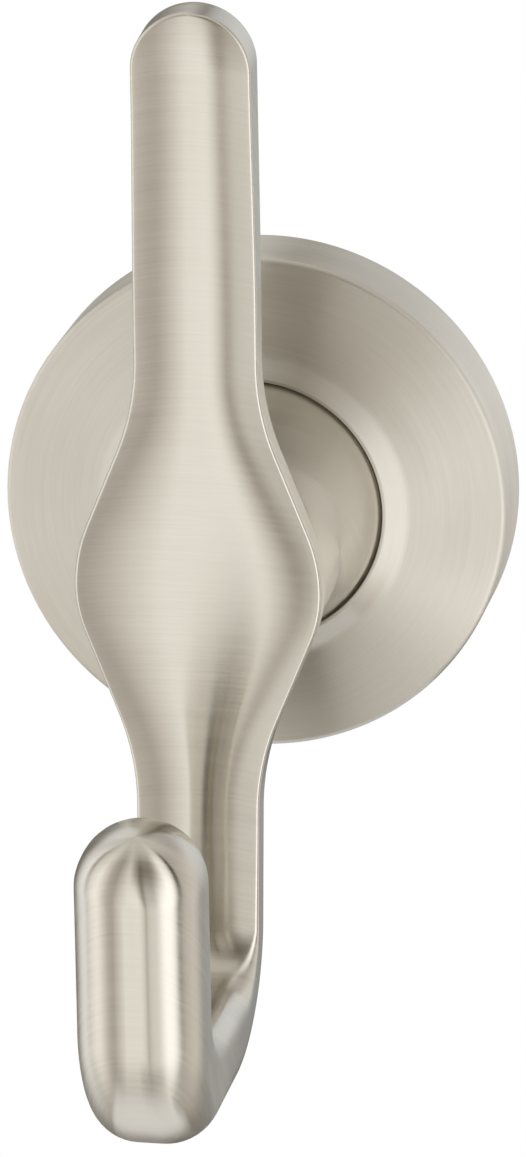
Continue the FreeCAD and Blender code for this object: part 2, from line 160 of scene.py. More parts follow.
# Light on the tent's cloth, as (angle in degrees, level). TENT_ROUND and TENT_STRIP go by azimuth, from -Y
# towards +X. The strip holds only above its fade. The other lists go by elevation, each for one part of
# the tent. TENT_CROWN is the level overhead.
TENT_STRENGTH = 2.0
TENT_CROWN = (0.36, 0.35, 0.32)
TENT_ROUND = [
    (-180, (0.24, 0.24, 0.23)),
    (-165, (0.50, 0.50, 0.50)),
    (-112, (0.54, 0.54, 0.54)),
    (-98, (0.66, 0.67, 0.68)),
    (-91, (0.20, 0.18, 0.16)),
    (-85, (0.54, 0.53, 0.51)),
    (-66, (0.70, 0.69, 0.67)),
    (-56, (0.56, 0.54, 0.51)),
    (-44, (0.38, 0.36, 0.33)),
    (-32, (0.34, 0.32, 0.29)),
    (-24, (0.50, 0.48, 0.45)),
    (-12, (0.71, 0.70, 0.68)),
    (-4, (0.74, 0.73, 0.71)),
    (5, (0.73, 0.72, 0.70)),
    (8, (0.62, 0.60, 0.57)),
    (12, (0.72, 0.71, 0.69)),
    (24, (0.80, 0.79, 0.78)),
    (34, (0.86, 0.85, 0.84)),
    (48, (0.93, 0.93, 0.92)),
    (62, (0.86, 0.85, 0.84)),
    (69, (0.55, 0.53, 0.50)),
    (72, (0.02, 0.02, 0.01)),
    (77, (0.02, 0.02, 0.01)),
    (80, (0.36, 0.34, 0.31)),
    (110, (0.46, 0.44, 0.41)),
    (140, (0.50, 0.50, 0.50)),
    (172, (0.48, 0.50, 0.52)),
    (180, (0.24, 0.24, 0.23)),
]
TENT_STRIP = [
    (-1, (1.00, 1.00, 1.00)),
    (5, (0.54, 0.52, 0.48)),
    (8, (0.32, 0.30, 0.26)),
    (10, (0.46, 0.44, 0.40)),
    (14, (0.62, 0.61, 0.58)),
    (26, (0.58, 0.57, 0.55)),
    (38, (1.00, 1.00, 1.00)),
]
TENT_FRONT_LEFT = [
    (-90, (0.44, 0.42, 0.39)),
    (-63, (0.50, 0.48, 0.45)),
    (-46, (0.58, 0.56, 0.53)),
    (-32, (0.86, 0.86, 0.85)),
    (-18, (0.82, 0.82, 0.82)),
    (0, (0.78, 0.78, 0.78)),
    (12, (0.70, 0.69, 0.67)),
    (30, (0.66, 0.65, 0.63)),
    (60, (0.56, 0.55, 0.53)),
    (90, (0.50, 0.48, 0.45)),
]
TENT_FRONT_RIGHT = [
    (-90, (0.38, 0.36, 0.33)),
    (-63, (0.32, 0.30, 0.27)),
    (-50, (0.22, 0.20, 0.17)),
    (-41, (0.30, 0.28, 0.25)),
    (-33, (0.94, 0.94, 0.93)),
    (-18, (0.84, 0.84, 0.84)),
    (0, (0.78, 0.78, 0.78)),
    (10, (0.62, 0.61, 0.59)),
    (24, (0.26, 0.24, 0.21)),
    (52, (0.26, 0.24, 0.21)),
    (90, (0.50, 0.48, 0.45)),
]
TENT_SIDE = [
    (-90, (0.42, 0.40, 0.37)),
    (-60, (0.50, 0.48, 0.45)),
    (-40, (0.78, 0.77, 0.75)),
    (-26, (0.98, 0.98, 0.98)),
    (16, (0.90, 0.90, 0.90)),
    (38, (0.70, 0.69, 0.67)),
    (60, (0.68, 0.67, 0.65)),
    (90, (0.80, 0.79, 0.78)),
]
TENT_BACK_LEFT = [
    (-90, (0.42, 0.40, 0.37)),
    (-34, (0.16, 0.15, 0.12)),
    (20, (0.16, 0.15, 0.12)),
    (32, (0.92, 0.92, 0.92)),
    (60, (0.92, 0.92, 0.92)),
    (90, (0.60, 0.58, 0.55)),
]
TENT_BACK_RIGHT = [
    (-90, (0.30, 0.28, 0.25)),
    (-40, (0.20, 0.18, 0.15)),
    (-26, (0.34, 0.33, 0.31)),
    (-14, (0.50, 0.50, 0.49)),
    (0, (0.84, 0.84, 0.84)),
    (20, (0.94, 0.94, 0.94)),
    (40, (0.50, 0.48, 0.45)),
    (90, (0.60, 0.58, 0.55)),
]


def smooth(value):
    """Ramp 3u^2 - 2u^3 of the value held between 0 and 1."""
    u = np.clip(value, 0.0, 1.0)
    return u * u * (3.0 - 2.0 * u)


def mix(start, end, share):
    """The value that lies a share of the way from start to end."""
    return start + (end - start) * share


def mesh_from_grid(name, grid):
    """Closed mesh from a grid of points: rows follow the path, columns go once round each row.

    The columns wrap round. Rows that shrink to a line or a point are merged, so poles and seams close.
    """
    rows, columns = grid.shape[:2]
    points = (grid.reshape(-1, 3) * MILLIMETRE).astype(np.float64)
    row, column = np.meshgrid(np.arange(rows - 1), np.arange(columns), indexing="ij")
    beside = (column + 1) % columns
    corners = [row * columns + column, row * columns + beside]
    faces = np.stack(corners + [corners[1] + columns, corners[0] + columns], axis=-1).reshape(-1, 4)
    mesh = bpy.data.meshes.new(name)
    mesh.from_pydata(points.tolist(), [], faces.tolist())
    shell = bmesh.new()
    shell.from_mesh(mesh)
    bmesh.ops.remove_doubles(shell, verts=shell.verts, dist=MERGE_DISTANCE)
    bmesh.ops.dissolve_degenerate(shell, edges=shell.edges, dist=MERGE_DISTANCE)
    bmesh.ops.recalc_face_normals(shell, faces=shell.faces)
    for face in shell.faces:
        face.smooth = True
    shell.to_mesh(mesh)
    shell.free()
    return mesh


def add_piece(name, mesh, material, nodes):
    """Put a mesh into the scene as a piece that stands for CAD nodes."""
    piece = bpy.data.objects.new(name, mesh)
    bpy.context.scene.collection.objects.link(piece)
    mesh.materials.append(material)
    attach(piece, "root")
    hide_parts(*nodes)
    return piece


def bulge_side(height, radius):
    """Half width at a height from the bulge's middle: an arc, a tangent flank and a neck arc."""
    angle = math.radians(BULGE_FLANK_ANGLE)
    arc_x = BULGE_HALF_WIDTH - radius + radius * math.cos(angle)
    arc_z = radius * math.sin(angle)
    neck_x = STRAP_HALF_WIDTH + BULGE_NECK_RADIUS * (1.0 - math.cos(angle))
    neck_z = arc_z + (arc_x - neck_x) / math.tan(angle)
    end_z = neck_z + BULGE_NECK_RADIUS * math.sin(angle)
    in_arc = BULGE_HALF_WIDTH - radius + np.sqrt(np.maximum(radius**2 - height**2, 0.0))
    on_flank = arc_x - (height - arc_z) * math.tan(angle)
    neck_reach = np.sqrt(np.maximum(BULGE_NECK_RADIUS**2 - (end_z - height) ** 2, 0.0))
    in_neck = STRAP_HALF_WIDTH + BULGE_NECK_RADIUS - neck_reach
    straight = np.full_like(height, STRAP_HALF_WIDTH)
    reached = [height < arc_z, height < neck_z, height < end_z]
    return np.select(reached, [in_arc, on_flank, in_neck], straight)


def strap_side(z):
    """Half width of the strap at heights z, with a slight taper to the prong's tip."""
    upper = bulge_side(z - BULGE_CENTRE_Z, BULGE_UPPER_RADIUS)
    lower = bulge_side(BULGE_CENTRE_Z - z, BULGE_LOWER_RADIUS)
    taper = prong_share(z) * (STRAP_HALF_WIDTH - PRONG_TIP_HALF_WIDTH)
    return np.where(z < BULGE_CENTRE_Z, lower, upper) - taper


def prong_share(z):
    """How far heights z are along the upper prong's taper, from 0 to 1, as a smooth ramp."""
    tip_centre = PRONG_TIP_Z - PRONG_TIP_HALF_WIDTH
    return smooth((z - PRONG_THICKEN_Z) / (tip_centre - PRONG_THICKEN_Z))


def face_depth(z):
    """Depth of the strap's face: a parabola that leans out at its top."""
    return STRAP_FACE_DEPTH + FACE_LEAN_SLOPE * z + z * z / (2.0 * FACE_BOW_RADIUS)


def arc_points(centre, radius, angles):
    """Side-view points (depth, z) of an arc, the angles counted from straight down."""
    return np.stack([centre[0] + radius * np.sin(angles), centre[1] - radius * np.cos(angles)], axis=-1)


def bend_side(face_x, bottom_z, first_radius, second_radius, offset):
    """Arc centres of one side of the lower bend, whose finger face is offset from the finger's axis."""
    along = np.array([math.sin(FINGER_LEAN), math.cos(FINGER_LEAN)])
    away = np.array([math.cos(FINGER_LEAN), -math.sin(FINGER_LEAN)])
    base = np.array([FINGER_AXIS_DEPTH, FINGER_AXIS_Z]) + away * (offset - second_radius)
    rise = (bottom_z + second_radius - base[1]) / along[1]
    return np.array([face_x + first_radius, bottom_z + first_radius]), base + along * rise


def strap_stations():
    """Stations down the straight strap: inner and outer side-view points and the cut's sizes."""
    z = np.linspace(PRONG_TIP_Z - PRONG_TIP_HALF_WIDTH, FACE_BOW_END_Z, 170)
    slope = FACE_LEAN_SLOPE + z / FACE_BOW_RADIUS
    length = np.hypot(slope, 1.0)
    thickness = mix(STRAP_THICKNESS, PRONG_TIP_THICKNESS, prong_share(z))
    inner = np.stack([face_depth(z), z], axis=-1)
    outer = inner + np.stack([-thickness / length, thickness * slope / length], axis=-1)
    ones = np.ones_like(z)
    return inner, outer, strap_side(z), ones * FRONT_EDGE_RADIUS, ones * BACK_EDGE_RADIUS, ones


def bend_stations():
    """Stations round the lower bend, in which the flat strap grows into the round finger."""
    half = FINGER_THICKNESS / 2.0
    face = float(face_depth(FACE_BOW_END_Z))
    inner_centres = bend_side(face, THROAT_BOTTOM_Z, THROAT_STRAP_RADIUS, THROAT_FINGER_RADIUS, -half)
    back = face - STRAP_THICKNESS
    outer_centres = bend_side(back, HOOK_BOTTOM_Z, HOOK_BACK_RADIUS, HOOK_FRONT_RADIUS, half)
    first = np.linspace(0.0, 1.0, 30)
    level = np.linspace(0.0, 1.0, 14)[1:-1]
    second = np.linspace(0.0, 1.0, 34)
    turn = math.pi / 2.0 - FINGER_LEAN

    def side(centres, first_radius, second_radius):
        down = arc_points(centres[0], first_radius, -math.pi / 2.0 * (1.0 - first))
        up = arc_points(centres[1], second_radius, turn * second)
        flat = down[-1] + (up[0] - down[-1]) * level[:, None]
        return np.concatenate([down, flat, up])

    inner = side(inner_centres, THROAT_STRAP_RADIUS, THROAT_FINGER_RADIUS)
    outer = side(outer_centres, HOOK_BACK_RADIUS, HOOK_FRONT_RADIUS)
    early = smooth(mix(LEVEL_BLEND_START, 1.0, first))
    late = smooth(second)
    flat = np.ones_like(level)

    def sizes(strap, bottom, finger):
        return np.concatenate([mix(strap, bottom, early), bottom * flat, mix(bottom, finger, late)])

    half_width = sizes(STRAP_HALF_WIDTH, BOTTOM_HALF_WIDTH, FINGER_HALF_WIDTH)
    inner_radius = sizes(FRONT_EDGE_RADIUS, BOTTOM_INNER_RADIUS, FINGER_EDGE_RADIUS)
    outer_radius = sizes(BACK_EDGE_RADIUS, BOTTOM_OUTER_RADIUS, FINGER_EDGE_RADIUS)
    roll = sizes(1.0, 0.0, 0.0)
    return inner, outer, half_width, inner_radius, outer_radius, roll


def run_stations(before, after, count):
    """Stations in straight lines between the last of one stretch and the first of the next."""
    share = np.linspace(0.0, 1.0, count + 2)[1:-1]
    return [mix(a[-1], b[0], share.reshape(-1, *[1] * (a[-1].ndim))) for a, b in zip(before, after)]


def finger_stations():
    """The single station where the finger's round tip starts, square to the finger."""
    half = FINGER_THICKNESS / 2.0
    z = FINGER_TIP_Z - FINGER_HALF_WIDTH * math.cos(FINGER_LEAN)
    depth = FINGER_AXIS_DEPTH + (z - FINGER_AXIS_Z) * math.tan(FINGER_LEAN)
    away = np.array([math.cos(FINGER_LEAN), -math.sin(FINGER_LEAN)]) * half
    middle = np.array([depth, z])
    inner, outer = (middle - away)[None], (middle + away)[None]
    radius = np.array([FINGER_EDGE_RADIUS])
    return inner, outer, np.array([FINGER_HALF_WIDTH]), radius, radius, np.zeros(1)


def half_cut(half_width, half_thickness, inner_radius, outer_radius, roll):
    """Right half of each cut, as x and height over the middle, from the inner face round to the outer.

    The inner face falls off as drop * s^2 over the last stretch before the edge, s from 0 to 1. A
    corner arc that starts at that slope follows, then the side, the outer corner and the outer face.
    """
    w, t = half_width[:, None], half_thickness[:, None]
    r1, r2, k = inner_radius[:, None], outer_radius[:, None], roll[:, None]
    reach = FACE_ROLL_WIDTH + FACE_ROLL_GROWTH * (w - STRAP_HALF_WIDTH)
    reach = np.minimum(reach, w)

    def drop(x):
        s = np.maximum(x - (w - reach), 0.0) / reach
        return k * FACE_ROLL_DROP * s * s

    tilt = np.arctan(k * 2.0 * FACE_ROLL_DROP * (reach - r1) / reach**2)
    face_end = w - r1 + r1 * np.sin(tilt)
    face_x = face_end * np.linspace(0.0, 1.0, 22)[None, :-1]
    face_h = t - drop(face_x)
    centre_h = t - drop(face_end) - r1 * np.cos(tilt)
    turn = mix(math.pi / 2.0 - tilt, 0.0, np.linspace(0.0, 1.0, 13)[None])
    inner_x, inner_h = w - r1 + r1 * np.cos(turn), centre_h + r1 * np.sin(turn)
    side = np.linspace(0.0, 1.0, 5)[None, 1:-1]
    side_x, side_h = w + side * 0.0, mix(centre_h, r2 - t, side)
    turn = -math.pi / 2.0 * np.linspace(0.0, 1.0, 13)[None]
    outer_x, outer_h = w - r2 + r2 * np.cos(turn), r2 - t + r2 * np.sin(turn)
    base_x = (w - r2) * np.linspace(1.0, 0.0, 10)[None, 1:]
    x = np.concatenate([face_x, inner_x, side_x, outer_x, base_x], axis=1)
    height = np.concatenate([face_h, inner_h, side_h, outer_h, -t + base_x * 0.0], axis=1)
    return x, height


def place(centre, normal, x, height, travel, forward):
    """World points (x, -depth, z) of cut points, moved forward along the path by travel."""
    depth = centre[..., 0:1] + normal[..., 0:1] * height + forward[..., 0:1] * travel
    z = centre[..., 1:2] + normal[..., 1:2] * height + forward[..., 1:2] * travel
    return np.stack([x + depth * 0.0, -depth, z], axis=-1)


def hook_bar_grid():
    """The strap, bend and finger as one closed grid.

    Each row is a cut across the bar. The two round ends are the end cut's halves turned a quarter
    about its middle line: x becomes x cos(a) and the point moves forward by |x| sin(a).
    """
    strap, bend, finger = strap_stations(), bend_stations(), finger_stations()
    stretches = [strap, run_stations(strap, bend, 16), bend, run_stations(bend, finger, 18), finger]
    inner, outer, half_width, inner_radius, outer_radius, roll = (
        np.concatenate([stretch[k] for stretch in stretches]) for k in range(6)
    )
    across = inner - outer
    thickness = np.hypot(across[:, 0], across[:, 1])
    normal = across / thickness[:, None]
    centre = (inner + outer) / 2.0
    x, height = half_cut(half_width, thickness / 2.0, inner_radius, outer_radius, roll)
    x = np.concatenate([x, -x[:, -2:0:-1]], axis=1)
    height = np.concatenate([height, height[:, -2:0:-1]], axis=1)
    forward = np.stack([-normal[:, 1], normal[:, 0]], axis=-1)
    body = place(centre, normal, x, height, 0.0 * x, forward)
    quarter = (math.pi / 2.0 * np.linspace(0.0, 1.0, 26)[1:])[:, None]

    def round_end(k, sign):
        turned = x[k] * np.cos(quarter)
        travel = np.abs(x[k]) * np.sin(quarter)
        return place(centre[k], normal[k], turned, height[k] + 0.0 * turned, travel, sign * forward[k])

    return np.concatenate([round_end(0, 1.0)[::-1], body, round_end(-1, -1.0)])


def post_grid():
    """The post: ovals |x/a|^n + |z/b|^n = 1 at growing depths, closed at both ends by a point.

    From the waist, a and b grow as a power of the way to the foot, and of the way to the front.
    """
    front = STRAP_FACE_DEPTH - STRAP_THICKNESS + POST_SINK
    depth = np.linspace(POST_FOOT_DEPTH, front, 90)[:, None]
    foot = np.clip((POST_WAIST_DEPTH - depth) / (POST_WAIST_DEPTH - POST_FOOT_DEPTH), 0.0, 1.0)
    flare = np.clip((depth - POST_WAIST_DEPTH) / (front - POST_WAIST_DEPTH), 0.0, 1.0)
    waist = mix(POST_WAIST_RADIUS, POST_BASE_RADIUS, foot**POST_FOOT_CURVE)
    half_width = waist + (POST_FRONT_HALF_WIDTH - POST_WAIST_RADIUS) * flare**POST_SIDE_CURVE
    half_height = waist + (POST_FRONT_HALF_HEIGHT - POST_WAIST_RADIUS) * flare**POST_TOP_CURVE
    squareness = mix(2.0, POST_FRONT_SQUARENESS, flare)
    angle = np.linspace(0.0, 2.0 * math.pi, 161)[None, :-1]
    cosine, sine = np.cos(angle), np.sin(angle)
    x = half_width * np.sign(cosine) * np.abs(cosine) ** (2.0 / squareness)
    z = half_height * np.sign(sine) * np.abs(sine) ** (2.0 / squareness)
    body = np.stack([x, -depth + 0.0 * x, z], axis=-1)
    back = body[:1] * np.array([0.0, 1.0, 0.0])
    face = body[-1:] * np.array([0.0, 1.0, 0.0])
    return np.concatenate([back, body, face])


def rounded_outline(corners, steps=8):
    """Points of a closed outline whose corners (radius, depth, rounding) are rounded by arcs."""
    places = np.array([corner[:2] for corner in corners], dtype=float)
    roundings = [corner[2] for corner in corners]
    points = []
    for k, rounding in enumerate(roundings):
        here, before, after = places[k], places[k - 1], places[(k + 1) % len(places)]
        if rounding == 0.0:
            points.append(here)
            continue
        back = (before - here) / np.linalg.norm(before - here)
        onward = (after - here) / np.linalg.norm(after - here)
        half = math.acos(np.clip(back @ onward, -1.0, 1.0)) / 2.0
        middle = (back + onward) / np.linalg.norm(back + onward)
        centre = here + middle * rounding / math.sin(half)
        start = here + back * rounding / math.tan(half) - centre
        end = here + onward * rounding / math.tan(half) - centre
        sweep = math.pi - 2.0 * half
        share = np.linspace(0.0, 1.0, steps + 1)[:, None]
        arc = np.sin((1.0 - share) * sweep) * start + np.sin(share * sweep) * end
        points.extend(centre + arc / math.sin(sweep))
    return np.array(points)


def turned_grid(corners, turns=240):
    """A closed outline of (radius, depth) turned about the Y axis: (r cos a, -depth, r sin a)."""
    outline = rounded_outline(corners)
    angle = np.linspace(0.0, 2.0 * math.pi, turns + 1)[:-1, None]
    x = outline[None, :, 0] * np.cos(angle)
    z = outline[None, :, 0] * np.sin(angle)
    grid = np.stack([x, -outline[None, :, 1] + 0.0 * x, z], axis=-1)
    return np.concatenate([grid, grid[:1]])


def flange_corners():
    """Corners of the flange's outline, as (radius, depth, rounding), once round the section."""
    inner = FLANGE_RADIUS - FLANGE_WALL
    return [
        (KEY_HOLE_RADIUS, WEB_BACK_DEPTH, 0.0),
        (COLLAR_BREAK_RADIUS - FLANGE_ROOF, WEB_BACK_DEPTH, WEB_CORNER_ROUNDING),
        (COLLAR_BREAK_RADIUS, COLLAR_BREAK_DEPTH - FLANGE_ROOF, WEB_CORNER_ROUNDING),
        (inner, FLANGE_WALL_HEIGHT - FLANGE_ROOF, HOLLOW_ROUNDING),
        (inner, 0.0, WALL_END_ROUNDING),
        (FLANGE_RADIUS, 0.0, WALL_END_ROUNDING),
        (FLANGE_RADIUS, FLANGE_WALL_HEIGHT, FLANGE_RIM_ROUNDING),
        (COLLAR_BREAK_RADIUS, COLLAR_BREAK_DEPTH, COLLAR_BREAK_ROUNDING),
        (SEAT_RADIUS + COLLAR_LIP_WIDTH, COLLAR_TOP_DEPTH, COLLAR_LIP_ROUNDING),
        (SEAT_RADIUS, COLLAR_TOP_DEPTH, SEAT_EDGE_ROUNDING),
        (SEAT_RADIUS, POST_FOOT_DEPTH, 0.0),
        (KEY_HOLE_RADIUS, POST_FOOT_DEPTH, 0.0),
    ]


def bored(mesh, radius, depth, reach):
    """The mesh with a round hole along Z, from below, at a depth from the wall."""
    angle = np.linspace(0.0, 2.0 * math.pi, 49)[:-1]
    ring = np.stack([radius * np.cos(angle), radius * np.sin(angle) - depth, 0.0 * angle], axis=-1)
    low, high = ring + [0.0, 0.0, -reach[1]], ring + [0.0, 0.0, -reach[0]]
    grid = np.stack([low, low, high, high])
    grid[0] = low.mean(axis=0)
    grid[3] = high.mean(axis=0)
    tool = bpy.data.objects.new("bore_tool", mesh_from_grid("bore_tool", grid))
    blank = bpy.data.objects.new("bore_blank", mesh)
    for piece in (tool, blank):
        bpy.context.scene.collection.objects.link(piece)
    cut = blank.modifiers.new("bore", "BOOLEAN")
    cut.object = tool
    cut.operation = "DIFFERENCE"
    cut.solver = "EXACT"
    bpy.context.view_layer.update()
    seen = blank.evaluated_get(bpy.context.evaluated_depsgraph_get())
    result = bpy.data.meshes.new_from_object(seen)
    bpy.data.objects.remove(blank)
    bpy.data.objects.remove(tool)
    return result


def group_socket(tree, name, way, kind="NodeSocketFloat", value=None):
    """Add a named input or output to a shader node group."""
    socket = tree.interface.new_socket(name=name, in_out=way, socket_type=kind)
    if value is not None:
        socket.default_value = value


def worked_out(tree, operation, *values):
    """Result of a Math node on values, each a number or another node's output."""
    node = tree.nodes.new("ShaderNodeMath")
    node.operation = operation
    for socket, value in zip(node.inputs, values):
        if isinstance(value, bpy.types.NodeSocket):
            tree.links.new(value, socket)
        else:
            socket.default_value = value
    return node.outputs[0]


def brushed_lines_group():
    """Fine brush lines: noise that is stretched along the lines, in two sizes, from 0 to 1."""
    tree = bpy.data.node_groups.new("brushed_lines", "ShaderNodeTree")
    group_socket(tree, "Across", "INPUT", value=0.0)
    group_socket(tree, "Along", "INPUT", value=0.0)
    group_socket(tree, "Depth", "INPUT", value=0.0)
    group_socket(tree, "Lines per metre", "INPUT", value=4000.0)
    group_socket(tree, "Stretch", "INPUT", value=60.0)
    group_socket(tree, "Lines", "OUTPUT")
    group_socket(tree, "Streaks", "OUTPUT")
    nodes, links = tree.nodes, tree.links
    given = nodes.new("NodeGroupInput").outputs
    out = nodes.new("NodeGroupOutput")
    slow = worked_out(tree, "DIVIDE", given["Lines per metre"], given["Stretch"])
    for label, share in (("Lines", 1.0), ("Streaks", STREAK_SHARE)):
        rate = worked_out(tree, "MULTIPLY", given["Lines per metre"], share)
        joined = nodes.new("ShaderNodeCombineXYZ")
        links.new(worked_out(tree, "MULTIPLY", given["Across"], rate), joined.inputs["X"])
        links.new(worked_out(tree, "MULTIPLY", given["Along"], slow), joined.inputs["Y"])
        links.new(worked_out(tree, "MULTIPLY", given["Depth"], slow), joined.inputs["Z"])
        noise = nodes.new("ShaderNodeTexNoise")
        noise.inputs["Scale"].default_value = 1.0
        noise.inputs["Detail"].default_value = 2.0
        noise.inputs["Roughness"].default_value = 0.6
        links.new(joined.outputs[0], noise.inputs["Vector"])
        links.new(noise.outputs["Fac"], out.inputs[label])
    return tree


def satin_tone_group():
    """Colour and roughness of a satin plate: two tones, mixed by the lines, the streaks and soft clouds."""
    tree = bpy.data.node_groups.new("satin_tone", "ShaderNodeTree")
    group_socket(tree, "Lines", "INPUT", value=0.5)
    group_socket(tree, "Streaks", "INPUT", value=0.5)
    group_socket(tree, "Light tone", "INPUT", "NodeSocketColor", (0.7, 0.66, 0.6, 1.0))
    group_socket(tree, "Dark tone", "INPUT", "NodeSocketColor", (0.6, 0.56, 0.5, 1.0))
    group_socket(tree, "Roughness", "INPUT", value=0.3)
    group_socket(tree, "Roughness change", "INPUT", value=0.08)
    group_socket(tree, "Colour", "OUTPUT", "NodeSocketColor")
    group_socket(tree, "Roughness", "OUTPUT")
    nodes, links = tree.nodes, tree.links
    given = nodes.new("NodeGroupInput").outputs
    out = nodes.new("NodeGroupOutput")
    spot = nodes.new("ShaderNodeTexCoord")
    cloud = nodes.new("ShaderNodeTexNoise")
    cloud.inputs["Scale"].default_value = 70.0
    cloud.inputs["Detail"].default_value = 3.0
    links.new(spot.outputs["Object"], cloud.inputs["Vector"])
    grain = nodes.new("ShaderNodeMix")
    grain.data_type = "FLOAT"
    grain.inputs["Factor"].default_value = 0.5
    links.new(given["Lines"], grain.inputs["A"])
    links.new(given["Streaks"], grain.inputs["B"])
    whole = nodes.new("ShaderNodeMix")
    whole.data_type = "FLOAT"
    whole.inputs["Factor"].default_value = 0.35
    links.new(grain.outputs["Result"], whole.inputs["A"])
    links.new(cloud.outputs["Fac"], whole.inputs["B"])
    spread = nodes.new("ShaderNodeMapRange")
    spread.inputs["From Min"].default_value = 0.3
    spread.inputs["From Max"].default_value = 0.7
    links.new(whole.outputs["Result"], spread.inputs["Value"])
    colour = nodes.new("ShaderNodeMix")
    colour.data_type = "RGBA"
    links.new(spread.outputs["Result"], colour.inputs["Factor"])
    links.new(given["Dark tone"], colour.inputs["A"])
    links.new(given["Light tone"], colour.inputs["B"])
    links.new(colour.outputs["Result"], out.inputs["Colour"])
    centred = worked_out(tree, "SUBTRACT", spread.outputs["Result"], 0.5)
    rough = worked_out(tree, "MULTIPLY_ADD", centred, given["Roughness change"], given["Roughness"])
    links.new(rough, out.inputs["Roughness"])
    return tree


def satin_material(name, groups, metal, round_lines):
    """Brushed satin metal, its lines across the piece or in circles about the Y axis."""
    light_tone, dark_tone, roughness, anisotropic, bump = metal
    material = bpy.data.materials.new(name)
    material.use_nodes = True
    tree = material.node_tree
    nodes, links = tree.nodes, tree.links
    surface = nodes["Principled BSDF"]
    surface.inputs["Metallic"].default_value = 1.0
    surface.inputs["Anisotropic"].default_value = anisotropic
    spot = nodes.new("ShaderNodeTexCoord")
    split = nodes.new("ShaderNodeSeparateXYZ")
    links.new(spot.outputs["Object"], split.inputs[0])
    lines = nodes.new("ShaderNodeGroup")
    lines.node_tree = groups["lines"]
    if round_lines:
        flat = nodes.new("ShaderNodeCombineXYZ")
        links.new(split.outputs["X"], flat.inputs["X"])
        links.new(split.outputs["Z"], flat.inputs["Y"])
        radius = nodes.new("ShaderNodeVectorMath")
        radius.operation = "LENGTH"
        links.new(flat.outputs[0], radius.inputs[0])
        across = worked_out(tree, "SUBTRACT", radius.outputs["Value"], split.outputs["Y"])
    else:
        across = worked_out(tree, "ADD", split.outputs["Z"], split.outputs["Y"])
    links.new(across, lines.inputs["Across"])
    links.new(split.outputs["X"], lines.inputs["Along"])
    links.new(split.outputs["Z" if round_lines else "Y"], lines.inputs["Depth"])
    tone = nodes.new("ShaderNodeGroup")
    tone.node_tree = groups["tone"]
    tone.inputs["Light tone"].default_value = (*light_tone, 1.0)
    tone.inputs["Dark tone"].default_value = (*dark_tone, 1.0)
    tone.inputs["Roughness"].default_value = roughness
    links.new(lines.outputs["Lines"], tone.inputs["Lines"])
    links.new(lines.outputs["Streaks"], tone.inputs["Streaks"])
    links.new(tone.outputs["Colour"], surface.inputs["Base Color"])
    links.new(tone.outputs["Roughness"], surface.inputs["Roughness"])
    relief = nodes.new("ShaderNodeBump")
    relief.inputs["Strength"].default_value = bump
    relief.inputs["Distance"].default_value = BRUSH_LINE_HEIGHT
    links.new(lines.outputs["Lines"], relief.inputs["Height"])
    links.new(relief.outputs["Normal"], surface.inputs["Normal"])
    if anisotropic:
        tangent = nodes.new("ShaderNodeTangent")
        tangent.direction_type = "RADIAL"
        tangent.axis = "Y" if round_lines else "X"
        if round_lines:
            surface.inputs["Anisotropic Rotation"].default_value = ROUND_GLOSS_TURN
        links.new(tangent.outputs[0], surface.inputs["Tangent"])
    return material


def white_where_seen(tree, shader, white_type):
    """The shader, replaced by white light of strength 1 for camera, glossy and transmission rays."""
    nodes, links = tree.nodes, tree.links
    path = nodes.new("ShaderNodeLightPath")
    seen = path.outputs["Is Camera Ray"]
    for ray in ("Is Glossy Ray", "Is Transmission Ray"):
        seen = worked_out(tree, "MAXIMUM", seen, path.outputs[ray])
    white = nodes.new(white_type)
    white.inputs["Color"].default_value = (1.0, 1.0, 1.0, 1.0)
    choose = nodes.new("ShaderNodeMixShader")
    links.new(seen, choose.inputs[0])
    links.new(shader, choose.inputs[1])
    links.new(white.outputs[0], choose.inputs[2])
    return choose.outputs[0]


def white_world():
    """A white world where it is seen, and soft grey light elsewhere."""
    world = bpy.data.worlds.new("white_backdrop")
    world.use_nodes = True
    tree = world.node_tree
    light = tree.nodes["Background"]
    light.inputs["Color"].default_value = (0.6, 0.6, 0.6, 1.0)
    result = white_where_seen(tree, light.outputs[0], "ShaderNodeBackground")
    tree.links.new(result, tree.nodes["World Output"].inputs["Surface"])
    return world


def ramp(nodes, stops, span):
    """Colour ramp whose stops are (angle, colour), over angles from -span / 2 to span / 2."""
    node = nodes.new("ShaderNodeValToRGB")
    elements = node.color_ramp.elements
    while len(elements) < len(stops):
        elements.new(0.5)
    for element, (angle, level) in zip(elements, stops):
        element.position = angle / span + 0.5
        element.color = (*level, 1.0)
    return node


